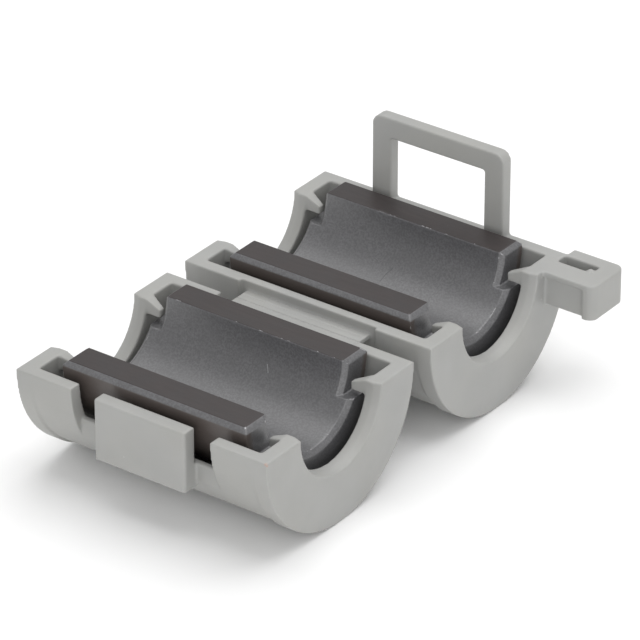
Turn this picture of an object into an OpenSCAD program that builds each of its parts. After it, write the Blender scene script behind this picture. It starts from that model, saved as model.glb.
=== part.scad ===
// Clip-on ferrite core in a hinged snap case, lying open with both cable seats up.
// X runs along the cable, +Y from the catch half to the latch half, +Z up.
// The origin is on the cable axis of the latch half's core, at mid-length.

/* [Cable] */
// Diameter of the cable that the closed cores fit round
cable_d = 13; // [6:0.5:20]

/* [Core] */
// Thickness of the core's wall
core_wall = 3.75; // [2:0.05:6]
// Length of the core at its bowl
core_l = 26; // [24:0.5:45]
// Length of the step cut from each end of the core's rails
core_step_l = 1.35; // [0.8:0.05:2]
// Depth of that step below the core's face
core_step_h = 3.6; // [3.2:0.1:4.5]
// Chamfer along the rails and at the ends of the core
core_chamfer = 0.5; // [0.2:0.05:0.8]
// Height of the core's face above the rim while the case is open
core_proud = 1.3; // [0.6:0.05:1.5]

/* [Case] */
// Thickness of the case's curved wall
case_wall = 1.55; // [1.2:0.05:3]
// Thickness of each end wall
end_wall = 1.8; // [1.2:0.05:3]
// Gap between the core and the curved wall, at the rim
core_side_gap = 0.7; // [0.4:0.05:1.5]
// Gap between the core and each end wall
core_end_gap = 1.05; // [0.5:0.05:2]
// Radial clearance of the end openings round the cable
opening_gap = 0.05; // [0:0.05:0.5]
// Radial growth of each end opening towards the outside
opening_flare = 0.3; // [0:0.05:0.6]
// Height of the end flanges above the barrel
flange_h = 0.3; // [0.1:0.05:0.6]
// Length of each end flange
flange_l = 1.9; // [1:0.1:3]
// Width of the groove behind each flange
groove_l = 0.9; // [0.4:0.1:1.5]
// Depth of that groove at the bottom of the barrel
groove_h = 0.2; // [0.1:0.05:0.4]
// Width of each saddle rib under the core
rib_l = 1.6; // [0.8:0.1:3]
// Clearance between a saddle rib and the pressed core
rib_gap = 0.1; // [0.05:0.05:0.3]

/* [Fingers] */
// How far each retaining finger reaches over the core's step
finger_l = 1.85; // [1:0.05:2]
// Width of a finger where it leaves the end wall
finger_w = 1.35; // [0.8:0.05:2]
// Width of a finger at its tip
finger_tip_w = 0.75; // [0.4:0.05:1.2]
// Depth of a finger's flat underside below the rim
finger_h = 1.7; // [1.2:0.05:2]
// Fall of a finger's sloping top towards its tip
finger_fall = 0.8; // [0.4:0.05:1]

/* [Hinge] */
// Length of the strap across the case's middle
strap_w = 15.8; // [10:0.1:18]
// Thickness of the strap
strap_t = 0.5; // [0.35:0.05:0.7]
// Depth of the strap's upper surface below the rims
strap_drop = 1.1; // [0.9:0.05:1.8]
// Gap between the two rims when the case is closed
closed_gap = 0.3; // [0.2:0.05:0.6]
// Depth of the recess that the strap folds into
recess_depth = 0.45; // [0.45:0.05:0.7]
// Height of that recess, down from the rim
recess_h = 3.4; // [2.8:0.1:4.5]
// Clearance at each end of the strap, inside its recess
strap_side_gap = 0.8; // [0.3:0.1:1.5]
// Clearance between the strap's rounded edge and its root
fold_gap = 0.05; // [0.03:0.01:0.1]

/* [Latch] */
// Width of the catch
catch_w = 11.5; // [8:0.5:14]
// Height of the catch, down from the rim
catch_h = 7; // [6.5:0.1:8]
// Thickness of the catch's free upper part
catch_t = 1.7; // [1.3:0.05:2.2]
// Height of the catch's face above the case's side
catch_proud = 0.2; // [0:0.05:0.5]
// Width of the loop's legs and of its bar
loop_bar = 2.45; // [1.8:0.05:3]
// Thickness of the loop
loop_t = 1.5; // [1.2:0.05:1.5]
// Clearance between the catch, the loop's legs and the notch
latch_side_gap = 0.3; // [0.2:0.05:0.5]
// Clearance between the loop and the catch's underside, and behind the loop
latch_gap = 0.2; // [0.1:0.05:0.3]
// Depth of the through notch beside the catch
notch_h = 4.2; // [3:0.1:5]
// Clearance round the loop's rounded feet in their seats
foot_gap = 0.05; // [0.03:0.01:0.1]

/* [Tie lug] */
// How far the lug stands out from the end wall
lug_l = 6.4; // [5.5:0.1:10]
// Width of the lug
lug_w = 6; // [5.5:0.1:8]
// How far the lug passes the side of the case
lug_out = 1.3; // [0.5:0.1:2]
// Height of the lug
lug_h = 4.15; // [2.5:0.05:5]
// Length of the slot for a cable tie
slot_l = 4.3; // [3:0.1:4.3]
// Width of that slot
slot_w = 1.45; // [1:0.05:2]
// Distance from the lug's outer side to the slot
slot_inset = 1.7; // [1.2:0.1:2]
// Thickness of the lug's top plate over its recessed side
lug_plate = 0.65; // [0.4:0.05:1]
// Depth of the recess in the lug's side
lug_recess = 0.35; // [0.2:0.05:0.8]
// Radius of the lug's outer corners
lug_r = 1; // [0.5:0.1:1.4]

/* [Hidden] */
$fn = 96;
cut = 1;
bore_r = cable_d / 2;
core_r = bore_r + core_wall;
cavity_r = core_r + core_side_gap;
case_r = cavity_r + case_wall;
flange_r = case_r + flange_h;
cavity_l = core_l + 2 * core_end_gap;
case_l = cavity_l + 2 * end_wall;
opening_r = bore_r + opening_gap;
rim_z = -core_proud;
core_touch_gap = 0.02;
pressed_proud = (closed_gap - core_touch_gap) / 2;
fold_r = strap_t / 2;
fold_drop = strap_drop + fold_r;
strap_span = closed_gap + 2 * fold_drop;
front_y = -2 * case_r - strap_span;
recess_w = strap_w + 2 * strap_side_gap;
window_w = catch_w + 2 * latch_side_gap;
window_h = catch_h + closed_gap + latch_gap;
loop_w = window_w + 2 * loop_bar;
loop_h = window_h + loop_bar;
notch_w = loop_w + 2 * latch_side_gap;
notch_depth = loop_t + latch_gap;
foot_r = loop_t / 2;
foot_seat_r = foot_r + foot_gap;
rib_x = core_l / 4;
rib_top_z = -core_r / 2;
rail_end_x = core_l / 2 - core_step_l;
chamfer_side = core_chamfer * sqrt(2);
wall_reach = 2 * case_wall;
root_sink = case_wall / 4;
catch_sink = case_wall / 3;
lug_boss_l = 1.5 * lug_r;
grey = "silver";
dark = "dimgray";

// Cylinder along X, centred on the origin
module x_rod(r, l) {
    rotate([0, 90, 0]) cylinder(r = r, h = l, center = true);
}

// Box from x = -l/2 to l/2 between two opposite corners of its Y-Z section
module x_bar(l, y0, y1, z0, z1) {
    translate([-l / 2, y0, z0]) cube([l, y1 - y0, z1 - z0]);
}

// What is inside a shell's width and below its rim
module under_rim(l) {
    x_bar(l, -case_r, case_r, -2 * case_r, 0);
}

// Places its children at both ends of the shell, the second one turned round
module at_both_ends() {
    for (turn = [0, 180])
        rotate([0, 0, turn]) children();
}

// Round-backed outside of a shell: the barrel, two end flanges and a groove behind each
module shell_outside() {
    intersection() {
        union() {
            x_rod(case_r, case_l - 2 * (flange_l + groove_l));
            intersection() {
                x_rod(case_r, case_l);
                translate([0, 0, groove_h]) x_rod(case_r, case_l);
            }
            at_both_ends()
                translate([(case_l - flange_l) / 2, 0, 0]) x_rod(flange_r, flange_l);
        }
        under_rim(case_l + cut);
    }
}

// Everything that is hollow in a shell: the core's cavity and the cable's way in
module shell_hollow() {
    x_rod(cavity_r, cavity_l);
    x_rod(opening_r, case_l + cut);
    at_both_ends()
        translate([case_l / 2 - end_wall / 2, 0, 0])
            rotate([0, 90, 0])
                cylinder(r1 = opening_r, r2 = opening_r + 2 * opening_flare, h = end_wall);
}

// Finger on the +X end wall, beside the opening on the +Y side
module finger() {
    root = cavity_l / 2 + cut / 2;
    tip = cavity_l / 2 - finger_l;
    intersection() {
        translate([0, 0, -finger_h])
            linear_extrude(height = finger_h)
                polygon([
                    [tip, opening_r],
                    [root, opening_r],
                    [root, opening_r + finger_w],
                    [cavity_l / 2, opening_r + finger_w],
                    [tip, opening_r + finger_tip_w]
                ]);
        translate([0, opening_r + finger_w + cut, 0])
            rotate([90, 0, 0])
                linear_extrude(height = finger_w + 2 * cut)
                    polygon([
                        [tip, -finger_h],
                        [root, -finger_h],
                        [root, 0],
                        [cavity_l / 2, 0],
                        [tip, -finger_fall]
                    ]);
    }
}

// The four fingers that keep a core from falling out
module fingers() {
    at_both_ends() {
        finger();
        mirror([0, 1, 0]) finger();
    }
}

// Two saddle ribs that the core seats on when the case presses it in
module saddle_ribs() {
    for (side = [-1, 1])
        translate([side * rib_x, 0, 0])
            intersection() {
                difference() {
                    x_rod(cavity_r + case_wall / 2, rib_l);
                    translate([0, 0, pressed_proud]) x_rod(core_r + rib_gap, rib_l + cut);
                }
                x_bar(rib_l, -core_r, core_r, -2 * case_r, rib_top_z);
            }
}

// A half case without its hinge, catch or lug
module plain_shell() {
    difference() {
        shell_outside();
        shell_hollow();
    }
    fingers();
    saddle_ribs();
}

// Recess for the folded strap, on the side at y = -case_r
module strap_recess() {
    x_bar(recess_w, -case_r - cut, -case_r + recess_depth, -recess_h, cut);
}

// Root that the strap's rounded edge meets, on the side at y = -case_r
module strap_root() {
    x_bar(strap_w, -case_r + fold_r + fold_gap, -case_r + recess_depth + root_sink,
        -strap_drop - strap_t, -strap_drop);
}

// Places its children in the front half, with +Y towards the hinge
module in_front_half() {
    translate([0, front_y, rim_z]) children();
}

// Lug with a slot for a cable tie, on the +X end of the shell
module tie_lug() {
    y_out = case_r + lug_out;
    x_end = case_l / 2 + lug_l;
    difference() {
        union() {
            translate([case_l / 2 - end_wall / 2, y_out - lug_w, -lug_h])
                cube([lug_l + end_wall / 2 - lug_r, lug_w - lug_out, lug_h]);
            translate([case_l / 2, y_out - lug_w, -lug_h])
                cube([lug_l - lug_r, lug_w, lug_h]);
            translate([x_end - 2 * lug_r, y_out - lug_w + lug_r, -lug_h])
                cube([2 * lug_r, lug_w - 2 * lug_r, lug_h]);
            for (y = [y_out - lug_w + lug_r, y_out - lug_r])
                translate([x_end - lug_r, y, -lug_h]) cylinder(r = lug_r, h = lug_h);
        }
        translate([case_l / 2, y_out - slot_inset - slot_w, -lug_h - cut])
            cube([slot_l, slot_w, lug_h + 2 * cut]);
        translate([case_l / 2, y_out - lug_w - cut, -lug_h - cut])
            cube([lug_l - lug_boss_l, cut + lug_recess, lug_h + cut - lug_plate]);
    }
}

// Latch half of the case, with the strap's root, the loop's foot seats and the tie lug
module rear_shell() {
    color(grey)
        translate([0, 0, rim_z]) {
            difference() {
                union() {
                    plain_shell();
                    tie_lug();
                }
                strap_recess();
                for (side = [-1, 1])
                    translate([side * (window_w + loop_bar) / 2, case_r - foot_r, 0])
                        x_rod(foot_seat_r, loop_bar + 2 * foot_gap);
            }
            strap_root();
        }
}

// Loop that flexes out over the catch and snaps under it
module latch_loop() {
    color(grey)
        translate([0, case_r - foot_r, rim_z]) {
            difference() {
                x_bar(loop_w, -foot_r, foot_r, 0, loop_h);
                x_bar(window_w, -foot_r - cut, foot_r + cut, -cut, window_h);
            }
            for (side = [-1, 1])
                translate([side * (window_w + loop_bar) / 2, 0, 0]) x_rod(foot_r, loop_bar);
        }
}

// Living hinge between the two halves, rounded along both fold lines
module hinge_strap() {
    color(grey)
        translate([0, -case_r, rim_z - fold_drop]) {
            x_bar(strap_w, -strap_span, 0, -fold_r, fold_r);
            for (y = [-strap_span, 0])
                translate([0, y, 0]) x_rod(fold_r, strap_w);
        }
}

// Notch and flat seat in the front half's outer side, where the loop comes to lie
module latch_notch() {
    x_bar(notch_w, -case_r - cut, -case_r + notch_depth, -2 * case_r, cut);
    x_bar(notch_w, -case_r - cut, -case_r + wall_reach, -notch_h, cut);
}

// Block that the loop hooks under: free above the notch, joined to the barrel below it
module catch_block() {
    x_bar(catch_w, -case_r - catch_proud, -case_r - catch_proud + catch_t, -catch_h, 0);
    x_bar(catch_w, -case_r - catch_proud, -case_r + notch_depth + catch_sink,
        -catch_h, -notch_h);
}

// Catch half of the case, with its hinge side cut down to the strap
module front_shell() {
    color(grey)
        in_front_half() {
            difference() {
                plain_shell();
                latch_notch();
                mirror([0, 1, 0]) strap_recess();
                x_bar(recess_w, case_r - wall_reach, case_r + cut, -strap_drop, cut);
            }
            mirror([0, 1, 0]) strap_root();
            catch_block();
        }
}

// Cone that chamfers the bore's edge where it runs out at x
module bore_chamfer(x) {
    translate([x - core_chamfer, 0, 0])
        rotate([0, 90, 0])
            cylinder(r1 = bore_r, r2 = bore_r + 2 * core_chamfer, h = 2 * core_chamfer);
}

// What the core loses at its +X end: the step, and a chamfer round each edge there
module core_end_cut() {
    bore_chamfer(core_l / 2);
    intersection() {
        bore_chamfer(rail_end_x);
        x_bar(core_l, -core_r, core_r, -core_step_h, cut);
    }
    translate([rail_end_x, 0, 0])
        rotate([0, 45, 0])
            cube([chamfer_side, 2 * (core_r + cut), chamfer_side], center = true);
    translate([rail_end_x, -core_r - cut, -core_step_h])
        cube([core_step_l + cut, 2 * (core_r + cut), core_step_h + cut]);
}

// Half core with its bore axis on X and its ground face at z = 0
module half_core() {
    difference() {
        intersection() {
            x_rod(core_r, core_l);
            x_bar(core_l, -core_r, core_r, -core_r, 0);
        }
        x_rod(bore_r, core_l + cut);
        at_both_ends() core_end_cut();
        for (side = [-1, 1])
            translate([0, side * core_r, 0])
                rotate([45, 0, 0])
                    cube([core_l + cut, chamfer_side, chamfer_side], center = true);
    }
}

// Ferrite half core in the latch half
module rear_core() {
    color(dark) half_core();
}

// Ferrite half core in the catch half
module front_core() {
    color(dark) translate([0, front_y, 0]) half_core();
}

rear_shell();
latch_loop();
hinge_strap();
front_shell();
rear_core();
front_core();
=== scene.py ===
import math

import bmesh
import bpy
import numpy as np
from mathutils import Matrix, Vector, noise


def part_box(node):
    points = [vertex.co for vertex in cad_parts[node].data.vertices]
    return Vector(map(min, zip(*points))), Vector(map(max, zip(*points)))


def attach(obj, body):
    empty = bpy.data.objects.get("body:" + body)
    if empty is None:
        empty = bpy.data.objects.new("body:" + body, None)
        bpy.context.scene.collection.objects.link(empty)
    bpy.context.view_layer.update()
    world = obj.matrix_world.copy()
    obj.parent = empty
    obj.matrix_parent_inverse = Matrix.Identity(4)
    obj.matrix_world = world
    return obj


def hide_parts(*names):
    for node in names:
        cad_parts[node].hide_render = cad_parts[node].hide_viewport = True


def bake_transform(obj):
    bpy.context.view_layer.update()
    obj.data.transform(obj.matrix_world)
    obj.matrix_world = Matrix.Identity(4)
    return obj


bl_info = {
    "name": "Clip-on ferrite core",
    "version": (1, 0, 0),
    "blender": (4, 5, 0),
    "location": "3D View > Sidebar > Ferrite core",
    "description": "Finished mouldings and sintered half cores of a hinged snap-on cable core",
    "category": "Object",
}

# In the frame X runs along the cables, Y from the catch half to the latch half, and Z up.
# The rear bore's axis is at y = 0, z = 0, and z = 0 is also the plane of the ground faces.
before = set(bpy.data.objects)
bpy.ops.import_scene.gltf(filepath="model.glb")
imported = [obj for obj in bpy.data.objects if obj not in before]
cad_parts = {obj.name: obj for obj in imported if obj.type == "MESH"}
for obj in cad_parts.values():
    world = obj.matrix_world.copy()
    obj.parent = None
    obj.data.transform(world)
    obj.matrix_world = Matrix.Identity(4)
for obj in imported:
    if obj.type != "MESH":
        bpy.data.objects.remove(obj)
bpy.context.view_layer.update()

MM = 0.001
# How far a cutting tool reaches past what it cuts
SPARE = 2 * MM
# How far a part sinks into the neighbour that it melts into
SINK = SPARE / 4
OVERLAP = SPARE / 10
# How close to a plane a face or edge counts as in it, and to a place a corner counts as there
NEAR = SPARE / 20
SAME_PLACE = 0.01 * MM
# Offset that keeps two faces from lying in one plane
HAIR = 0.002 * MM
ROUND_SIDES = 288

# The strap: its reach into the shell past the fold, its edge, the steps along its length and its crease
STRAP_REACH = 0.42 * MM
STRAP_EDGE = 0.09 * MM
STRAP_STEPS = 16
CREASE_R = 0.3 * MM
CREASE_OFFSET = 0.55 * MM

# Marks on the surfaces, in the frame
SCUFF_INSET = 0.05 * MM
SCUFF_DROP = 0.1 * MM
HAIRLINE = (
    (-1.45 * MM, 2.73 * MM, -5.9 * MM),
    (-1.31 * MM, 3.62 * MM, -5.4 * MM),
    (-0.9 * MM, 4.32 * MM, -4.85 * MM),
)
HAIRLINE_W = (0.09 * MM, 0.07 * MM)
SCRATCH = ((2.3 * MM, -22.3 * MM, -3.1 * MM), (2.7 * MM, -22.7 * MM, -3.75 * MM))
SCRATCH_W = 0.05 * MM

FLOOR_SIZE = 4
LIGHTS_AIM = (0, -0.014, 0)
TOP_LIGHT_AT, TOP_LIGHT_SIZE = (0.0, 0.10, 0.45), 0.55
FRONT_LIGHT_AT, FRONT_LIGHT_SIZE = (0.33, -0.47, 0.22), 0.45

REAR_LOW, REAR_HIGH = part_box("rear_shell")
FRONT_LOW, FRONT_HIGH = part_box("front_shell")
LOOP_LOW, LOOP_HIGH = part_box("latch_loop")
STRAP_LOW, STRAP_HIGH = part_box("hinge_strap")
CORE_LOW, CORE_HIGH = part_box("rear_core")

RIM_Z = REAR_HIGH.z
CASE_R = -REAR_LOW.y
CASE_L = FRONT_HIGH.x - FRONT_LOW.x
FRONT_Y = FRONT_HIGH.y - CASE_R
CATCH_PROUD = FRONT_Y - CASE_R - FRONT_LOW.y
STRAP_W = STRAP_HIGH.x - STRAP_LOW.x
STRAP_T = STRAP_HIGH.z - STRAP_LOW.z
STRAP_DROP = RIM_Z - STRAP_HIGH.z
LOOP_W = LOOP_HIGH.x - LOOP_LOW.x
LOOP_T = LOOP_HIGH.y - LOOP_LOW.y
LOOP_H = LOOP_HIGH.z - RIM_Z
CORE_L = CORE_HIGH.x - CORE_LOW.x
LUG_L = REAR_HIGH.x - CASE_L / 2
LUG_OUT = REAR_HIGH.y - CASE_R


def number(name, description, default, **options):
    """A number that a user can change."""
    return bpy.props.FloatProperty(name=name, description=description, default=default, **options)


def length(name, description, default):
    """A length that a user can change, shown in the scene's own unit."""
    return number(name, description, default, unit="LENGTH", subtype="DISTANCE", precision=5)


def share(name, description, default):
    """A number from 0 to 1 that a user can change."""
    return number(name, description, default, min=0.0, max=1.0)


def passes(name, description, default):
    """A number of smoothing passes that a user can change."""
    return bpy.props.IntProperty(name=name, description=description, default=default, min=0, max=60)


def colour(name, description, default):
    """A colour that a user can change."""
    return bpy.props.FloatVectorProperty(
        name=name, description=description, default=default, size=3, subtype="COLOR", min=0.0, max=1.0
    )


class CaseSizes(bpy.types.PropertyGroup):
    """Sizes of the moulded case"""

    cavity_r: length("Cavity radius", "Radius of the core's cavity", 10.95 * MM)
    end_wall: length("End wall", "Thickness of each end wall", 1.8 * MM)
    opening_r: length("Opening radius", "Radius of the cable's way through an end wall", 6.55 * MM)
    opening_flare: length("Opening flare", "Radial growth of the opening towards the outside", 0.3 * MM)
    flange_h: length("Flange height", "Height of the end flanges above the barrel", 0.3 * MM)
    flange_l: length("Flange length", "Length of each end flange", 1.9 * MM)
    groove_l: length("Groove width", "Width of the groove behind each flange", 0.9 * MM)
    groove_h: length("Groove depth", "Depth of that groove at the bottom of the barrel", 0.2 * MM)
    finger_l: length("Finger reach", "How far each retaining finger reaches over the core", 1.85 * MM)
    finger_w: length("Finger width", "Width of a finger at the end wall", 1.35 * MM)
    finger_tip_w: length("Finger tip width", "Width of a finger at its tip", 0.75 * MM)
    finger_h: length("Finger depth", "Depth of a finger's underside below the rim", 1.7 * MM)
    finger_fall: length("Finger fall", "Fall of a finger's sloping top", 0.8 * MM)
    rib_l: length("Rib width", "Width of each saddle rib under the core", 1.6 * MM)
    rib_r: length("Rib radius", "Radius of the saddle that a rib makes", 10.35 * MM)
    recess_w: length("Recess width", "Width of the recess that the strap folds into", 17.4 * MM)
    recess_h: length("Recess height", "Height of that recess", 3.4 * MM)
    recess_depth: length("Recess depth", "Depth of that recess", 0.45 * MM)
    catch_w: length("Catch width", "Width of the catch", 11.5 * MM)
    catch_h: length("Catch height", "Height of the catch, down from the rim", 7.0 * MM)
    catch_t: length("Catch thickness", "Thickness of the catch's free upper part", 1.7 * MM)
    notch_w: length("Notch width", "Width of the notch and seat round the catch", 17.6 * MM)
    notch_h: length("Notch height", "Height of the open notch beside the catch", 4.2 * MM)
    notch_depth: length("Seat depth", "Depth of the seat that the loop lies in", 1.7 * MM)
    loop_bar: length("Loop bar", "Width of the loop's legs and bar", 2.45 * MM)
    corner: length("Corner", "Radius of the catch's upright corners", 0.35 * MM)
    loop_corner: length("Loop corner", "Radius of the loop's outer corners", 1.25 * MM)
    lug_w: length("Lug width", "Width of the tie lug", 6.0 * MM)
    lug_h: length("Lug height", "Height of the tie lug", 4.15 * MM)
    lug_r: length("Lug corner", "Radius of the lug's outer corners", 1.0 * MM)
    lug_plate: length("Lug plate", "Thickness of the lug's top plate over its recessed side", 0.65 * MM)
    lug_recess: length("Lug recess", "Depth of the recess in the lug's side", 0.5 * MM)
    nib_r: length("Nib", "Radius of the small raised nib in the slot's outer end", 0.5 * MM)
    slot_l: length("Slot length", "Length of the slot for a cable tie", 4.3 * MM)
    slot_w: length("Slot width", "Width of that slot", 1.45 * MM)
    slot_inset: length("Slot inset", "Distance from the lug's outer side to the slot", 1.7 * MM)
    crease_d: length("Crease depth", "Depth of the crease along each fold of the strap", 0.03 * MM)
    grain: length("Mesh grain", "Size of a face on the softened mouldings", 0.14 * MM)
    soften: passes("Softening", "Passes that round the mouldings' edges", 3)


class CoreSizes(bpy.types.PropertyGroup):
    """Sizes of a sintered half core"""

    bore_r: length("Bore radius", "Radius of the bore", 6.5 * MM)
    outer_r: length("Outer radius", "Radius of the outside", 10.25 * MM)
    step_l: length("Step length", "Length of the step at each end of the rails", 1.35 * MM)
    step_h: length("Step depth", "Depth of that step", 3.6 * MM)
    chamfer: length("Chamfer", "Chamfer along the core's edges", 0.5 * MM)
    grain: length("Mesh grain", "Size of a face on the core", 0.09 * MM)
    soften: passes("Softening", "Passes that take the sharpness off the edges", 1)
    chip: length("Chips", "Depth of the small chips along the edges", 0.09 * MM)


class Finishes(bpy.types.PropertyGroup):
    """Colours and gloss of the materials"""

    plastic: colour("Plastic", "Colour of the moulded nylon", (0.356, 0.357, 0.347))
    plastic_rough: share("Plastic roughness", "Roughness of the nylon", 0.5)
    bore: colour("Sintered face", "Colour of the core as sintered", (0.075, 0.0745, 0.079))
    ground: colour("Ground face", "Colour of the core's ground faces", (0.036, 0.0285, 0.028))
    flank: colour("Flank", "Colour of the core's outer flanks", (0.072, 0.058, 0.052))
    chip: colour("Chips", "Colour of fresh chips in the core", (0.50, 0.50, 0.51))
    core_rough: share("Core roughness", "Roughness of the core", 0.5)
    floor: colour("Floor", "Colour of the floor", (0.97, 0.97, 0.97))


class Studio(bpy.types.PropertyGroup):
    """Camera and light"""

    azimuth: number("Azimuth", "Turn of the camera round the object", math.radians(36.24), subtype="ANGLE")
    elevation: number("Elevation", "Height above the horizon", math.radians(29.69), subtype="ANGLE")
    distance: length("Distance", "Distance from the camera to what it aims at", 519.2 * MM)
    lens: number("Lens", "Focal length in millimetres", 283.6)
    aim: bpy.props.FloatVectorProperty(
        name="Aim",
        description="Point that the camera aims at",
        default=(3.12 * MM, -14.30 * MM, -1.3 * MM),
        size=3,
        subtype="XYZ",
    )
    top_light: number("Top light", "Power of the softbox overhead", 1.66)
    front_light: number("Front light", "Power of the softbox in front", 1.05)
    fill: number("Fill", "Strength of the light from all round", 0.6)


# ---------------------------------------------------------------- modelling


def select_only(*pieces):
    """Selects these pieces alone and makes the first one active."""
    bpy.ops.object.select_all(action="DESELECT")
    for piece in pieces:
        piece.select_set(True)
    bpy.context.view_layer.objects.active = pieces[0]


def settle(name):
    """Names the new primitive and moves its place into its mesh."""
    piece = bpy.context.object
    piece.name = name
    bpy.ops.object.transform_apply(location=True, rotation=True, scale=True)
    return piece


def bar(name, x, y, z):
    """Box between two values each of x, y and z."""
    bpy.ops.object.select_all(action="DESELECT")
    middle = [(low + high) / 2 for low, high in (x, y, z)]
    size = [high - low for low, high in (x, y, z)]
    bpy.ops.mesh.primitive_cube_add(size=1, location=middle, scale=size)
    return settle(name)


def rod(name, radius, x, y=0.0, z=0.0, end_radius=None):
    """Cylinder along X between two values of x, or a cone if its radius at the far end is another."""
    bpy.ops.object.select_all(action="DESELECT")
    bpy.ops.mesh.primitive_cone_add(
        vertices=ROUND_SIDES,
        radius1=radius,
        radius2=radius if end_radius is None else end_radius,
        depth=x[1] - x[0],
        location=((x[0] + x[1]) / 2, y, z),
        rotation=(0, math.pi / 2, 0),
    )
    return settle(name)


def finish_with(piece, kind, **settings):
    """Adds a modifier to the piece with these settings and applies it."""
    select_only(piece)
    modifier = piece.modifiers.new(kind.title(), kind)
    for key, value in settings.items():
        setattr(modifier, key, value)
    bpy.ops.object.modifier_apply(modifier=modifier.name)
    return piece


def combine(piece, operation, *tools):
    """Joins, cuts or intersects the piece with each tool in turn, which uses the tool up."""
    for tool in tools:
        finish_with(piece, "BOOLEAN", operation=operation, solver="MANIFOLD", object=tool)
        bpy.data.objects.remove(tool)
        if not piece.data.polygons:
            raise RuntimeError(f"{piece.name}: nothing is left after {operation.lower()}")
    return piece


def cut(piece, *tools):
    """Takes the tools out of the piece."""
    return combine(piece, "DIFFERENCE", *tools)


def keep_inside(piece, *tools):
    """Keeps what the piece and the tools share."""
    return combine(piece, "INTERSECT", *tools)


def gather(name, parts):
    """Joins overlapping closed parts into one object, which softening then melts into one skin."""
    select_only(*parts)
    bpy.ops.object.join()
    piece = bpy.context.object
    piece.name = name
    return piece


def copy_of(piece, name, matrix=None):
    """Copy with its own mesh, moved by the matrix, with its faces still pointing outwards."""
    twin = piece.copy()
    twin.data = piece.data.copy()
    twin.name = name
    bpy.context.scene.collection.objects.link(twin)
    if matrix is not None:
        twin.data.transform(matrix)
        if matrix.determinant() < 0:
            twin.data.flip_normals()
    return twin


def both_ends(piece):
    """The piece and its copy turned round to the other end."""
    return [piece, copy_of(piece, piece.name + "_far", Matrix.Rotation(math.pi, 4, "Z"))]


def both_sides(piece):
    """The piece and its mirror image across the cable axis."""
    return [piece, copy_of(piece, piece.name + "_side", Matrix.Scale(-1, 4, (0, 1, 0)))]


def round_upright(piece, at, radius, segments=5):
    """Rounds the upright edges of a piece that stand at these (x, y) places."""
    select_only(piece)
    bpy.ops.object.mode_set(mode="EDIT")
    bpy.ops.mesh.select_mode(type="EDGE")
    bpy.ops.mesh.select_all(action="DESELECT")
    body = bmesh.from_edit_mesh(piece.data)
    for edge in body.edges:
        a, b = (v.co for v in edge.verts)
        upright = abs(a.z - b.z) > 2 * NEAR and (a - b).xy.length < SAME_PLACE
        edge.select_set(upright and any((a.xy - Vector(p)).length < SAME_PLACE for p in at))
    bmesh.update_edit_mesh(piece.data)
    bpy.ops.mesh.bevel(offset=radius, segments=segments, affect="EDGES")
    bpy.ops.object.mode_set(mode="OBJECT")
    return piece


def soften(piece, grain, passes, most_faces=180000):
    """Melts the piece's parts into one skin, rounds its edges and thins the skin where it is flat."""
    finish_with(piece, "REMESH", mode="VOXEL", voxel_size=grain, use_smooth_shade=True)
    finish_with(piece, "SMOOTH", factor=0.5, iterations=passes)
    faces = 2 * len(piece.data.polygons)
    if faces > most_faces:
        finish_with(piece, "DECIMATE", ratio=most_faces / faces)
    select_only(piece)
    bpy.ops.object.shade_smooth()
    return piece


def deepest(sizes):
    """Depth that is below everything in a shell."""
    return -(CASE_R + sizes.flange_h + SPARE)


def half_ring(name, sizes, x, hollow, drop=0.0):
    """Lower half of a round wall between two values of x, its outside moved down by the drop."""
    ring = rod(name, CASE_R, x, z=-drop)
    side = CASE_R + HAIR
    keep_inside(ring, bar("under_rim", (-CASE_L, CASE_L), (-side, side), (deepest(sizes), 0)))
    return cut(ring, rod("hollow", hollow, (x[0] - SPARE, x[1] + SPARE)))


def end_wall(sizes):
    """End wall at +X with its flange, its flared cable opening and the start of the cavity."""
    half = CASE_L / 2
    wall = half_ring("end_wall", sizes, (half - sizes.flange_l, half), sizes.opening_r, sizes.flange_h)
    cavity = rod("cavity", sizes.cavity_r, (0, half - sizes.end_wall))
    deep = sizes.opening_flare
    flare = rod(
        "flare",
        sizes.opening_r - deep,
        (half - sizes.end_wall, half + sizes.end_wall / 2),
        end_radius=sizes.opening_r + 2 * deep,
    )
    return cut(wall, cavity, flare)


def barrel(sizes):
    """Curved wall between the grooves behind the two flanges."""
    inner = CASE_L / 2 - sizes.flange_l - sizes.groove_l
    return half_ring("barrel", sizes, (-inner, inner), sizes.cavity_r)


def groove_wall(sizes):
    """Wall behind the +X flange: a wider circle shifted up leaves a groove that fades out on the sides."""
    high = CASE_L / 2 - sizes.flange_l + NEAR
    low = high - sizes.groove_l - OVERLAP
    fade = 2 * sizes.groove_h
    wall = rod("groove_wall", CASE_R + fade, (low, high), z=sizes.groove_h + fade)
    keep_inside(wall, rod("outside", CASE_R - HAIR, (0, CASE_L)))
    keep_inside(wall, bar("under_rim", (0, CASE_L), (-CASE_R, CASE_R), (deepest(sizes), 0)))
    return cut(wall, rod("cavity", sizes.cavity_r, (0, CASE_L)))


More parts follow.
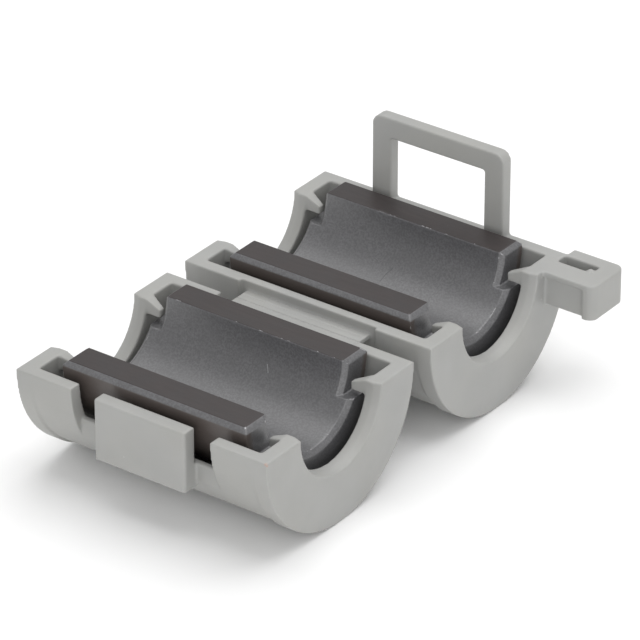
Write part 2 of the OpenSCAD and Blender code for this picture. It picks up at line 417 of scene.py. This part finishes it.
def retaining_finger(sizes):
    """Finger on the +X end wall that narrows and slopes down to its tip."""
    wall = CASE_L / 2 - sizes.end_wall
    tip = wall - sizes.finger_l
    inner = sizes.opening_r
    finger = bar("finger", (tip, wall), (inner, inner + sizes.finger_w), (-sizes.finger_h, 0))
    select_only(finger)
    bpy.ops.object.mode_set(mode="EDIT")
    bpy.ops.mesh.select_all(action="DESELECT")
    body = bmesh.from_edit_mesh(finger.data)
    for vertex in body.verts:
        if vertex.co.x < (tip + wall) / 2:
            if vertex.co.y > inner + sizes.finger_w / 2:
                vertex.co.y = inner + sizes.finger_tip_w
            if vertex.co.z > -sizes.finger_h / 2:
                vertex.co.z = -sizes.finger_fall
    for face in body.faces:
        face.select_set(face.calc_center_median().x > wall - NEAR)
    bmesh.update_edit_mesh(finger.data)
    bpy.ops.mesh.extrude_region_move(TRANSFORM_OT_translate={"value": (sizes.end_wall / 3, 0, 0)})
    bpy.ops.object.mode_set(mode="OBJECT")
    return finger


def saddle_rib(sizes):
    """Rib across the cavity that the pressed core sits on."""
    x = CORE_L / 4
    span = (x - sizes.rib_l / 2, x + sizes.rib_l / 2)
    rib = rod("rib", (sizes.cavity_r + CASE_R) / 2, span)
    cut(rib, rod("saddle", sizes.rib_r, (span[0] - SPARE, span[1] + SPARE)))
    half = sizes.rib_r
    return keep_inside(rib, bar("rib_low", (0, CASE_L), (-half, half), (deepest(sizes), -half / 2)))


def inner_parts(sizes):
    """What both shells hold besides their curved wall."""
    parts = [*both_ends(end_wall(sizes)), *both_ends(groove_wall(sizes)), *both_ends(saddle_rib(sizes))]
    for finger in both_sides(retaining_finger(sizes)):
        parts += both_ends(finger)
    return parts


def strap_recess(sizes):
    """What the strap's recess takes out of the side at y = -CASE_R."""
    half = sizes.recess_w / 2
    deep = (-CASE_R - SPARE, -CASE_R + sizes.recess_depth)
    return bar("recess", (-half, half), deep, (-sizes.recess_h, SPARE))


def strap_root(sizes):
    """Ledge that the strap grows out of, on the side at y = -CASE_R."""
    half = STRAP_W / 2
    back = -CASE_R + sizes.recess_depth + SINK
    return bar("root", (-half, half), (-CASE_R + OVERLAP, back), (-STRAP_DROP - STRAP_T, -STRAP_DROP))


def mirrored(piece):
    """The piece turned into its mirror image across the cable axis."""
    piece.data.transform(Matrix.Scale(-1, 4, (0, 1, 0)))
    piece.data.flip_normals()
    return piece


def tie_lug(sizes):
    """Lug with a slot for a cable tie, a thin top plate and a rounded boss at its end."""
    wall = CASE_L / 2
    outer, end = CASE_R + LUG_OUT, wall + LUG_L
    inner = outer - sizes.lug_w
    lug = bar("lug", (wall - SINK, end), (inner, outer), (-sizes.lug_h, -HAIR))
    round_upright(lug, [(end, inner), (end, outer)], sizes.lug_r, segments=8)
    through = (-sizes.lug_h - SPARE, SPARE)
    beside = bar("beside", (wall - SPARE, wall), (CASE_R - HAIR, outer + SPARE), through)
    slot_high = outer - sizes.slot_inset
    slot_low = slot_high - sizes.slot_w
    slot = bar("slot", (wall - HAIR, wall + sizes.slot_l), (slot_low, slot_high), through)
    side = bar(
        "lug_side",
        (wall - HAIR, end - 1.5 * sizes.lug_r),
        (inner - SPARE, inner + sizes.lug_recess),
        (-sizes.lug_h - SPARE, -sizes.lug_plate),
    )
    cut(lug, beside, slot, side)
    nib_r = sizes.nib_r
    nib_at = (wall + sizes.slot_l - nib_r / 2, slot_low + nib_r / 4, -0.55 * nib_r)
    bpy.ops.object.select_all(action="DESELECT")
    bpy.ops.mesh.primitive_uv_sphere_add(segments=32, ring_count=16, radius=nib_r, location=nib_at)
    return [lug, settle("nib")]


def latch_loop(sizes):
    """Loop that stands on the rim and hooks over the catch, with rounded outer corners."""
    half, inner = LOOP_W / 2, LOOP_W / 2 - sizes.loop_bar
    back = CASE_R
    loop = bar("loop", (-half, half), (back - LOOP_T, back), (-LOOP_T / 3, LOOP_H))
    window_top = LOOP_H - sizes.loop_bar
    window = bar("window", (-inner, inner), (back - LOOP_T - SPARE, back + SPARE), (-LOOP_T, window_top))
    select_only(loop)
    bpy.ops.object.mode_set(mode="EDIT")
    bpy.ops.mesh.select_mode(type="EDGE")
    bpy.ops.mesh.select_all(action="DESELECT")
    body = bmesh.from_edit_mesh(loop.data)
    for edge in body.edges:
        middle = (edge.verts[0].co + edge.verts[1].co) / 2
        edge.select_set(middle.z > LOOP_H - NEAR and abs(middle.x) > half - NEAR)
    bmesh.update_edit_mesh(loop.data)
    bpy.ops.mesh.bevel(offset=sizes.loop_corner, segments=6, affect="EDGES")
    bpy.ops.object.mode_set(mode="OBJECT")
    return cut(loop, window)


def catch_block(sizes):
    """Block that the loop hooks under: free above the notch, joined to the barrel below it."""
    half = sizes.catch_w / 2
    face = -CASE_R - CATCH_PROUD
    upper = bar("catch", (-half, half), (face, face + sizes.catch_t), (-sizes.catch_h, 0))
    back = -CASE_R + sizes.notch_depth + SINK
    lower = bar("catch_back", (-half, half), (face, back), (-sizes.catch_h, -sizes.notch_h))
    for block in (upper, lower):
        round_upright(block, [(-half, face), (half, face)], sizes.corner, segments=5)
    return [upper, lower]


def latch_notch(sizes):
    """What the loop's seat and the open notch take out of the catch side."""
    half = sizes.notch_w / 2
    outside = -CASE_R - SPARE
    seat = bar("seat", (-half, half), (outside, -CASE_R + sizes.notch_depth), (deepest(sizes), SPARE))
    half -= HAIR
    notch = bar("notch", (-half, half), (outside, -CASE_R + 1.5 * SPARE), (-sizes.notch_h, SPARE))
    return [seat, notch]


def place(piece, y):
    """Moves a half case from its bore axis to its place in the frame."""
    piece.data.transform(Matrix.Translation((0, y, RIM_Z)))
    return piece


def half_core(sizes):
    """Sintered half core with stepped rails and chamfered edges, its ground face up."""
    half = CORE_L / 2
    rail_end = half - sizes.step_l
    wide = sizes.outer_r + SPARE
    deep = sizes.chamfer
    core = rod("core", sizes.outer_r, (-half, half))
    keep_inside(core, bar("lower", (-half - SPARE, half + SPARE), (-wide, wide), (-wide, 0)))
    cut(core, rod("bore", sizes.bore_r, (-half - SPARE, half + SPARE)))
    narrow, broad = sizes.bore_r - deep, sizes.bore_r + 2 * deep
    bowl_cone = rod("bowl_cone", narrow, (half - 2 * deep, half + deep), end_radius=broad)
    rail_cone = rod("rail_cone", narrow, (rail_end - 2 * deep, rail_end + deep), end_radius=broad)
    keep_inside(rail_cone, bar("rail_part", (0, half + SPARE), (-wide, wide), (HAIR - sizes.step_h, SPARE)))
    step = bar("step", (rail_end, half + SPARE), (-wide, wide), (-sizes.step_h, SPARE))
    cut(core, *both_ends(bowl_cone), *both_ends(step), *both_ends(rail_cone))
    slant = sizes.chamfer / math.sqrt(2)
    end_bevel = bar("end_bevel", (-slant, slant), (-wide, wide), (-slant, slant))
    end_bevel.data.transform(Matrix.Translation((rail_end, 0, 0)) @ Matrix.Rotation(math.pi / 4, 4, "Y"))
    side_bevel = bar("side_bevel", (-half, half), (-slant, slant), (-slant, slant))
    turn = Matrix.Rotation(math.pi / 4, 4, "X")
    side_bevel.data.transform(Matrix.Translation((0, sizes.outer_r, 0)) @ turn)
    return cut(core, *both_ends(end_bevel), *both_sides(side_bevel))


def edge_sharpness(piece):
    """How much each vertex stands out from its neighbours, in shares of an edge's length."""
    mesh = piece.data
    count = len(mesh.vertices)
    places = np.zeros(count * 3)
    normals = np.zeros(count * 3)
    mesh.vertices.foreach_get("co", places)
    mesh.vertices.foreach_get("normal", normals)
    places, normals = places.reshape(-1, 3), normals.reshape(-1, 3)
    pairs = np.zeros(len(mesh.edges) * 2, int)
    mesh.edges.foreach_get("vertices", pairs)
    a, b = pairs.reshape(-1, 2).T
    total, links = np.zeros((count, 3)), np.zeros(count)
    for here, there in ((a, b), (b, a)):
        np.add.at(total, here, places[there])
        np.add.at(links, here, 1)
    links = np.maximum(links, 1)
    spread = np.zeros(count)
    reach = np.linalg.norm(places[a] - places[b], axis=1)
    np.add.at(spread, a, reach)
    np.add.at(spread, b, reach)
    offset = places - total / links[:, None]
    return (offset * normals).sum(1) / np.maximum(spread / links, 1e-9), places, normals


def mark(piece, name, values):
    """Stores one number for each vertex, which a material can read."""
    attribute = piece.data.attributes.new(name, "FLOAT", "POINT")
    attribute.data.foreach_set("value", np.asarray(values, np.float32))


def smooth_step(low, high, values):
    """0 below low, 1 above high and a soft rise between."""
    t = np.clip((values - low) / (high - low), 0, 1)
    return t * t * (3 - 2 * t)


def chip_edges(piece, sizes, seed):
    """Breaks small chips out of the sharp edges and marks them."""
    sharp, places, normals = edge_sharpness(piece)
    edge = smooth_step(0.05, 0.16, sharp)
    offset = Vector((seed, 2 * seed, -seed))
    rough = np.array([noise.noise(Vector(p) / (0.9 * MM) + offset) for p in places])
    fine = np.array([noise.noise(Vector(p) / (0.28 * MM) - offset) for p in places])
    depth = edge * smooth_step(0.14, 0.4, rough + 0.5 * fine)
    moved = places - normals * (depth * sizes.chip)[:, None]
    piece.data.vertices.foreach_set("co", moved.ravel())
    piece.data.update()
    mark(piece, "chips", depth)
    # The edges mark also gives the ferrite a painted highlight, mixed with edge wear, along its sharp
    # edges.
    mark(piece, "edges", edge)
    middle = (places[:, 1].max() + places[:, 1].min()) / 2
    reach = np.hypot(places[:, 1] - middle, places[:, 2])
    low = smooth_step(sizes.chamfer, 1.2 * sizes.chamfer, -places[:, 2])
    outside = smooth_step(sizes.outer_r - 2 * sizes.chamfer, sizes.outer_r - sizes.chamfer, reach)
    mark(piece, "flank", low * outside)
    return piece


# ---------------------------------------------------------------- materials


class Value:
    """A number that varies over a surface. Python arithmetic on it adds Math nodes."""

    def __init__(self, finish, socket):
        self.finish = finish
        self.socket = socket

    def math(self, operation, *others, swap=False):
        """This value joined with others by one Math node."""
        terms = [self, *others]
        if swap:
            terms.reverse()
        node = self.finish.node("ShaderNodeMath", {"operation": operation}, dict(enumerate(terms)))
        return Value(self.finish, node.outputs[0])

    def __add__(self, other):
        return self.math("ADD", other)

    __radd__ = __add__

    def __sub__(self, other):
        return self.math("SUBTRACT", other)

    def __rsub__(self, other):
        return self.math("SUBTRACT", other, swap=True)

    def __mul__(self, other):
        return self.math("MULTIPLY", other)

    __rmul__ = __mul__

    def step(self, low, high):
        """0 at low, 1 at high and a soft rise between."""
        node = self.finish.node(
            "ShaderNodeMapRange",
            {"interpolation_type": "SMOOTHSTEP"},
            {"Value": self, "From Min": low, "From Max": high},
        )
        return Value(self.finish, node.outputs[0])


class Finish:
    """A node material under construction."""

    def __init__(self, name):
        self.material = bpy.data.materials.new(name)
        self.material.use_nodes = True
        self.tree = self.material.node_tree
        self.tree.nodes.clear()
        self.place = self.node("ShaderNodeTexCoord").outputs["Object"]

    def node(self, kind, settings=None, inputs=None):
        """Adds a node, sets its settings, then gives its sockets their values or links."""
        node = self.tree.nodes.new(kind)
        for key, value in (settings or {}).items():
            setattr(node, key, value)
        for key, value in (inputs or {}).items():
            socket = self.socket(node, key)
            source = value.socket if isinstance(value, Value) else value
            if isinstance(source, bpy.types.NodeSocket):
                self.tree.links.new(source, socket)
            else:
                socket.default_value = source
        return node

    @staticmethod
    def socket(node, key):
        """An input by its place, its identifier or its name."""
        if isinstance(key, int):
            return node.inputs[key]
        found = [s for s in node.inputs if s.identifier == key]
        return found[0] if found else node.inputs[key]

    def noise(self, size, detail=2.0, roughness=0.5, stretch=None, distortion=0.0):
        """Noise from 0 to 1 with features of about this size, drawn out by the three factors of stretch."""
        place = self.place
        if stretch is not None:
            place = self.node("ShaderNodeMapping", None, {"Vector": place, "Scale": stretch}).outputs[0]
        node = self.node(
            "ShaderNodeTexNoise",
            None,
            {
                "Vector": place,
                "Scale": 1 / size,
                "Detail": detail,
                "Roughness": roughness,
                "Distortion": distortion,
            },
        )
        return Value(self, node.outputs[0])

    def specks(self, size):
        """Distance from the middle of the nearest of many scattered points, in shares of their spacing."""
        node = self.node("ShaderNodeTexVoronoi", None, {"Vector": self.place, "Scale": 1 / size})
        return Value(self, node.outputs["Distance"])

    def attribute(self, name):
        """A number stored on the mesh."""
        node = self.node("ShaderNodeAttribute", {"attribute_name": name})
        return Value(self, node.outputs["Fac"])

    def axis(self, index):
        """The surface's x, y or z."""
        node = self.node("ShaderNodeSeparateXYZ", None, {0: self.place})
        return Value(self, node.outputs[index])

    def near(self, point, inner, outer):
        """1 within inner of a point, 0 beyond outer."""
        node = self.node("ShaderNodeVectorMath", {"operation": "DISTANCE"}, {0: self.place, 1: point})
        return 1 - Value(self, node.outputs["Value"]).step(inner, outer)

    def streak(self, start, end, width):
        """1 along the straight stretch between two points, 0 beyond its width."""
        start, end = Vector(start), Vector(end)
        course = (end - start).normalized()
        offset = self.node("ShaderNodeVectorMath", {"operation": "SUBTRACT"}, {0: self.place, 1: start})
        from_start = offset.outputs[0]
        dot = self.node("ShaderNodeVectorMath", {"operation": "DOT_PRODUCT"}, {0: from_start, 1: course})
        along = Value(self, dot.outputs["Value"]).math("MAXIMUM", 0.0).math("MINIMUM", (end - start).length)
        foot = self.node("ShaderNodeVectorMath", {"operation": "SCALE"}, {0: course, "Scale": along})
        away = self.node(
            "ShaderNodeVectorMath", {"operation": "DISTANCE"}, {0: from_start, 1: foot.outputs[0]}
        )
        return 1 - Value(self, away.outputs["Value"]).step(width / 3, width)

    def mix(self, factor, a, b):
        """Colour a where the factor is 0 and b where it is 1."""
        a, b = ((*c, 1.0) if isinstance(c, tuple) else c for c in (a, b))
        node = self.node(
            "ShaderNodeMix",
            {"data_type": "RGBA", "blend_type": "MIX"},
            {"Factor_Float": factor, "A_Color": a, "B_Color": b},
        )
        return [s for s in node.outputs if s.identifier == "Result_Color"][0]

    def bump(self, height, depth, below=None, strength=1.0):
        """Normal that shows the height as relief this deep."""
        inputs = {"Height": height, "Distance": depth, "Strength": strength}
        if below is not None:
            inputs["Normal"] = below
        return self.node("ShaderNodeBump", None, inputs).outputs[0]

    def surface(self, **inputs):
        """Closes the material with a Principled shader; a name's underscores stand for spaces."""
        named = {key.replace("_", " "): value for key, value in inputs.items()}
        shader = self.node("ShaderNodeBsdfPrincipled", None, named)
        self.node("ShaderNodeOutputMaterial", None, {"Surface": shader.outputs[0]})
        return self.material


def shade(colour_value, factor):
    """The colour made lighter or darker."""
    return tuple(min(1.0, c * factor) for c in colour_value)


def nylon(looks):
    """Satin moulded nylon: faint mottling, a fine grain, a few specks and one scuffed corner."""
    finish = Finish("moulded_nylon")
    base = tuple(looks.plastic)
    mottle = finish.noise(5 * MM, detail=3.0)
    tone = finish.mix(mottle.step(0.3, 0.7), shade(base, 0.965), shade(base, 1.03))
    warm = finish.noise(11 * MM, detail=1.0).step(0.35, 0.7)
    tone = finish.mix(warm * 0.5, tone, (base[0] * 1.01, base[1], base[2] * 0.965))
    dust = (1 - finish.specks(2.6 * MM).step(0.02, 0.045)) * finish.noise(7 * MM).step(0.5, 0.62)
    tone = finish.mix(dust * 0.6, tone, shade(base, 1.6))
    corner = (CASE_L / 2 - SCUFF_INSET, FRONT_Y - CASE_R, RIM_Z - SCUFF_DROP)
    scuff = finish.near(corner, 0.15 * MM, 0.45 * MM) * finish.noise(0.3 * MM).step(0.42, 0.56)
    tone = finish.mix(scuff * 0.5, tone, (0.48, 0.24, 0.16))
    grain = finish.noise(0.12 * MM, detail=2.0)
    waves = finish.noise(2.2 * MM, detail=2.0)
    normal = finish.bump(waves, 0.03 * MM)
    normal = finish.bump(grain, 0.0025 * MM, below=normal)
    rough = looks.plastic_rough + 0.12 * (finish.noise(1.4 * MM, detail=3.0) - 0.5)
    return finish.surface(
        Base_Color=tone,
        Roughness=rough,
        Normal=normal,
        IOR=1.53,
        Subsurface_Weight=0.2,
        Subsurface_Radius=(1.0, 0.95, 0.85),
        Subsurface_Scale=0.5 * MM,
    )


def ferrite(looks):
    """Sintered ferrite: grainy as fired, browner and closer where it was ground, pale in its chips, with a
    painted highlight and edge wear along its sharp edges.
    """
    finish = Finish("sintered_ferrite")
    fired, ground = tuple(looks.bore), tuple(looks.ground)
    grain = finish.noise(0.22 * MM, detail=3.0, roughness=0.6)
    patches = finish.noise(2.5 * MM, detail=3.0)
    sintered = finish.mix(grain.step(0.36, 0.66), shade(fired, 0.7), shade(fired, 1.4))
    sintered = finish.mix(0.35 - 0.35 * patches.step(0.3, 0.72), sintered, shade(fired, 0.85))
    marks = finish.noise(0.5 * MM, detail=3.0, stretch=(0.12, 1.0, 1.0))
    lapped = finish.mix(marks.step(0.3, 0.72), shade(ground, 0.9), shade(ground, 1.1))
    cooler = (ground[0] * 0.93, ground[1] * 1.02, ground[2] * 1.06)
    lapped = finish.mix(patches.step(0.35, 0.7) * 0.6, lapped, cooler)
    top = finish.axis(2).step(-0.06 * MM, -0.025 * MM)
    sintered = finish.mix(finish.attribute("flank"), sintered, tuple(looks.flank))
    tone = finish.mix(top, sintered, lapped)
    pits = (1 - finish.specks(1.9 * MM).step(0.03, 0.075)) * finish.noise(3 * MM).step(0.5, 0.6)
    tone = finish.mix(pits * 0.7, tone, shade(fired, 0.35))
    glints = (1 - finish.specks(1.3 * MM).step(0.012, 0.035)) * finish.noise(2.1 * MM).step(0.5, 0.62)
    tone = finish.mix(glints * 0.75, tone, shade(fired, 3.0))
    # Painted highlight and edge wear: the colour is lightened along the sharp edges.
    tone = finish.mix(finish.attribute("edges") * 0.12, tone, shade(fired, 1.8))
    chips = finish.attribute("chips")
    tone = finish.mix(chips.step(0.15, 0.75) * 0.8, tone, tuple(looks.chip))
    crack = finish.streak(HAIRLINE[0], HAIRLINE[1], HAIRLINE_W[0])
    crack_end = finish.streak(HAIRLINE[1], HAIRLINE[2], HAIRLINE_W[1])
    tone = finish.mix((crack + crack_end) * 0.8, tone, shade(fired, 0.15))
    scratch = finish.streak(*SCRATCH, SCRATCH_W)
    tone = finish.mix(scratch * 0.6, tone, tuple(looks.chip))
    normal = finish.bump(grain * (1 - 0.8 * top), 0.015 * MM)
    rough = looks.core_rough + 0.1 * (grain - 0.5) - 0.06 * top
    return finish.surface(
        Base_Color=tone,
        Roughness=rough,
        Normal=normal,
        IOR=1.45,
        Coat_Weight=(1 - top) * (1 - 0.6 * finish.attribute("flank")),
        Coat_Roughness=0.42,
        Coat_IOR=1.8,
    )


def matt_floor(looks):
    """Plain pale floor with the faintest unevenness."""
    finish = Finish("matt_floor")
    base = tuple(looks.floor)
    tone = finish.mix(finish.noise(180 * MM), shade(base, 0.99), base)
    return finish.surface(Base_Color=tone, Roughness=0.7, Specular_IOR_Level=0.2)


def wear(piece, material):
    """Gives the piece this material and no other."""
    piece.data.materials.clear()
    piece.data.materials.append(material)
    return piece


def finished_material(name, make):
    """The named material, made the first time it is asked for."""
    return bpy.data.materials.get(name) or make(bpy.context.scene.core_finishes)


# ---------------------------------------------------------------- operators


class CORE_OT_latch_half(bpy.types.Operator):
    """Rear shell with its tie lug and latch loop, melted into one rigid piece; the real moulding bends at
    the loop's feet
    """

    bl_idname = "ferrite_core.latch_half"
    bl_label = "Latch half"

    def execute(self, context):
        sizes = context.scene.core_case
        wall = cut(barrel(sizes), strap_recess(sizes))
        parts = [wall, *inner_parts(sizes), *tie_lug(sizes), latch_loop(sizes), strap_root(sizes)]
        shell = place(gather("rear_case", parts), 0)
        soften(shell, sizes.grain, sizes.soften)
        wear(shell, finished_material("moulded_nylon", nylon))
        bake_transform(shell)
        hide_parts("rear_shell", "latch_loop")
        return {"FINISHED"}


class CORE_OT_catch_half(bpy.types.Operator):
    """Front shell with the catch and the open notch round it"""

    bl_idname = "ferrite_core.catch_half"
    bl_label = "Catch half"

    def execute(self, context):
        sizes = context.scene.core_case
        half = sizes.recess_w / 2 - HAIR
        side = (CASE_R - 1.5 * SPARE, CASE_R + SPARE)
        lowered = bar("lowered", (-half, half), side, (-STRAP_DROP, SPARE))
        wall = cut(barrel(sizes), *latch_notch(sizes), mirrored(strap_recess(sizes)), lowered)
        parts = [wall, *inner_parts(sizes), mirrored(strap_root(sizes)), *catch_block(sizes)]
        shell = place(gather("front_case", parts), FRONT_Y)
        soften(shell, sizes.grain, sizes.soften)
        wear(shell, finished_material("moulded_nylon", nylon))
        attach(shell, "front_half")
        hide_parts("front_shell")
        return {"FINISHED"}


class CORE_OT_strap(bpy.types.Operator):
    """Thin hinge strap in two straight halves that meet in the middle; the real strap bends round the fold
    lines
    """

    bl_idname = "ferrite_core.strap"
    bl_label = "Hinge strap"

    def execute(self, context):
        sizes = context.scene.core_case
        middle = (-CASE_R + FRONT_HIGH.y) / 2
        for name, fold, bodies, side in (
            ("strap_rear", -CASE_R, ("rear_half", "strap"), 1),
            ("strap_front", FRONT_HIGH.y, ("front_half", "strap"), -1),
        ):
            strap = strap_half(name, sizes, middle, fold, side)
            wear(strap, finished_material("moulded_nylon", nylon))
            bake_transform(strap)
            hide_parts("hinge_strap")
        return {"FINISHED"}


def strap_half(name, sizes, middle, fold, side):
    """Half of the strap from its root to the middle, creased on top just off the fold."""
    low, high = sorted((middle, fold + side * STRAP_REACH))
    half = STRAP_W / 2
    strap = bar(name, (-half, half), (low, high), (STRAP_LOW.z, STRAP_HIGH.z))
    finish_with(strap, "BEVEL", width=STRAP_EDGE, segments=3, limit_method="ANGLE")
    crease_z = STRAP_HIGH.z + CREASE_R - sizes.crease_d
    across = (-half - SPARE, half + SPARE)
    cut(strap, rod("crease", CREASE_R, across, y=fold - side * CREASE_OFFSET, z=crease_z))
    select_only(strap)
    bpy.ops.object.mode_set(mode="EDIT")
    for i in range(1, STRAP_STEPS):
        bpy.ops.mesh.select_all(action="SELECT")
        y = low + (high - low) * i / STRAP_STEPS
        bpy.ops.mesh.bisect(plane_co=(0, y, 0), plane_no=(0, 1, 0))
    bpy.ops.object.mode_set(mode="OBJECT")
    bpy.ops.object.shade_smooth_by_angle(angle=math.radians(35))
    return strap


class CORE_OT_half_cores(bpy.types.Operator):
    """The two sintered half cores, modelled once and chipped differently"""

    bl_idname = "ferrite_core.half_cores"
    bl_label = "Half cores"

    def execute(self, context):
        sizes = context.scene.core_ferrite
        core = half_core(sizes)
        soften(core, sizes.grain, sizes.soften)
        for node, body, y, seed in (
            ("rear_core", "rear_insert", 0.0, 3.1),
            ("front_core", "front_insert", FRONT_Y, 8.4),
        ):
            twin = copy_of(core, node.split("_")[0] + "_half_core", Matrix.Translation((0, y, 0)))
            chip_edges(twin, sizes, seed)
            wear(twin, finished_material("sintered_ferrite", ferrite))
            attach(twin, body)
            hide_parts(node)
        bpy.data.objects.remove(core)
        return {"FINISHED"}


class CORE_OT_studio(bpy.types.Operator):
    """Pale floor, soft light from overhead and the camera"""

    bl_idname = "ferrite_core.studio"
    bl_label = "Studio"

    def execute(self, context):
        studio = context.scene.core_studio
        bpy.ops.object.select_all(action="DESELECT")
        floor_z = min(REAR_LOW.z, FRONT_LOW.z)
        bpy.ops.mesh.primitive_plane_add(size=FLOOR_SIZE, location=(0, 0, floor_z))
        floor = settle("floor")
        wear(floor, finished_material("matt_floor", matt_floor))
        soft_light("overhead", TOP_LIGHT_AT, TOP_LIGHT_SIZE, studio.top_light)
        soft_light("front", FRONT_LIGHT_AT, FRONT_LIGHT_SIZE, studio.front_light)
        world = bpy.data.worlds.new("surround")
        context.scene.world = world
        world.use_nodes = True
        world.node_tree.nodes["Background"].inputs["Color"].default_value = (1, 1, 1, 1)
        world.node_tree.nodes["Background"].inputs["Strength"].default_value = studio.fill
        context.scene.view_settings.view_transform = "Standard"
        place_camera(context, studio)
        return {"FINISHED"}


def soft_light(name, place_at, size, power):
    """Square softbox that faces the middle of the object."""
    bpy.ops.object.light_add(type="AREA", location=place_at)
    light = bpy.context.object
    light.name = name
    light.data.size = size
    light.data.energy = power
    light.rotation_euler = (Vector(LIGHTS_AIM) - Vector(place_at)).to_track_quat("-Z", "Y").to_euler()
    return light


def place_camera(context, studio):
    """Sets the camera at its azimuth, elevation and distance from the aim point."""
    back = Vector(
        (
            math.sin(studio.azimuth) * math.cos(studio.elevation),
            -math.cos(studio.azimuth) * math.cos(studio.elevation),
            math.sin(studio.elevation),
        )
    )
    bpy.ops.object.camera_add(location=Vector(studio.aim) + back * studio.distance)
    camera = context.object
    camera.rotation_euler = (-back).to_track_quat("-Z", "Y").to_euler()
    camera.data.lens = studio.lens
    camera.data.clip_start = studio.distance / 20
    camera.data.clip_end = studio.distance * 20
    context.scene.camera = camera


OPERATORS = (CORE_OT_studio, CORE_OT_latch_half, CORE_OT_catch_half, CORE_OT_strap, CORE_OT_half_cores)
GROUPS = {
    "core_case": CaseSizes,
    "core_ferrite": CoreSizes,
    "core_finishes": Finishes,
    "core_studio": Studio,
}


class CORE_PT_panel(bpy.types.Panel):
    """Sidebar panel with the sizes, finishes and pieces"""

    bl_idname = "CORE_PT_panel"
    bl_label = "Ferrite core"
    bl_space_type = "VIEW_3D"
    bl_region_type = "UI"
    bl_category = "Ferrite core"

    def draw(self, context):
        for group in GROUPS:
            box = self.layout.box()
            values = getattr(context.scene, group)
            for key in values.__class__.__annotations__:
                box.prop(values, key)
        for operator in OPERATORS:
            self.layout.operator(operator.bl_idname)


def register():
    """Adds the classes and hangs the settings on the scene."""
    for cls in (*GROUPS.values(), *OPERATORS, CORE_PT_panel):
        bpy.utils.register_class(cls)
    for name, group in GROUPS.items():
        setattr(bpy.types.Scene, name, bpy.props.PointerProperty(type=group))


def unregister():
    """Takes the settings and classes away again."""
    for name in GROUPS:
        delattr(bpy.types.Scene, name)
    for cls in (CORE_PT_panel, *reversed(OPERATORS), *reversed(list(GROUPS.values()))):
        bpy.utils.unregister_class(cls)


def main():
    register()
    bpy.ops.ferrite_core.studio()
    bpy.ops.ferrite_core.latch_half()
    bpy.ops.ferrite_core.catch_half()
    bpy.ops.ferrite_core.strap()
    bpy.ops.ferrite_core.half_cores()


if __name__ == "__main__":
    main()
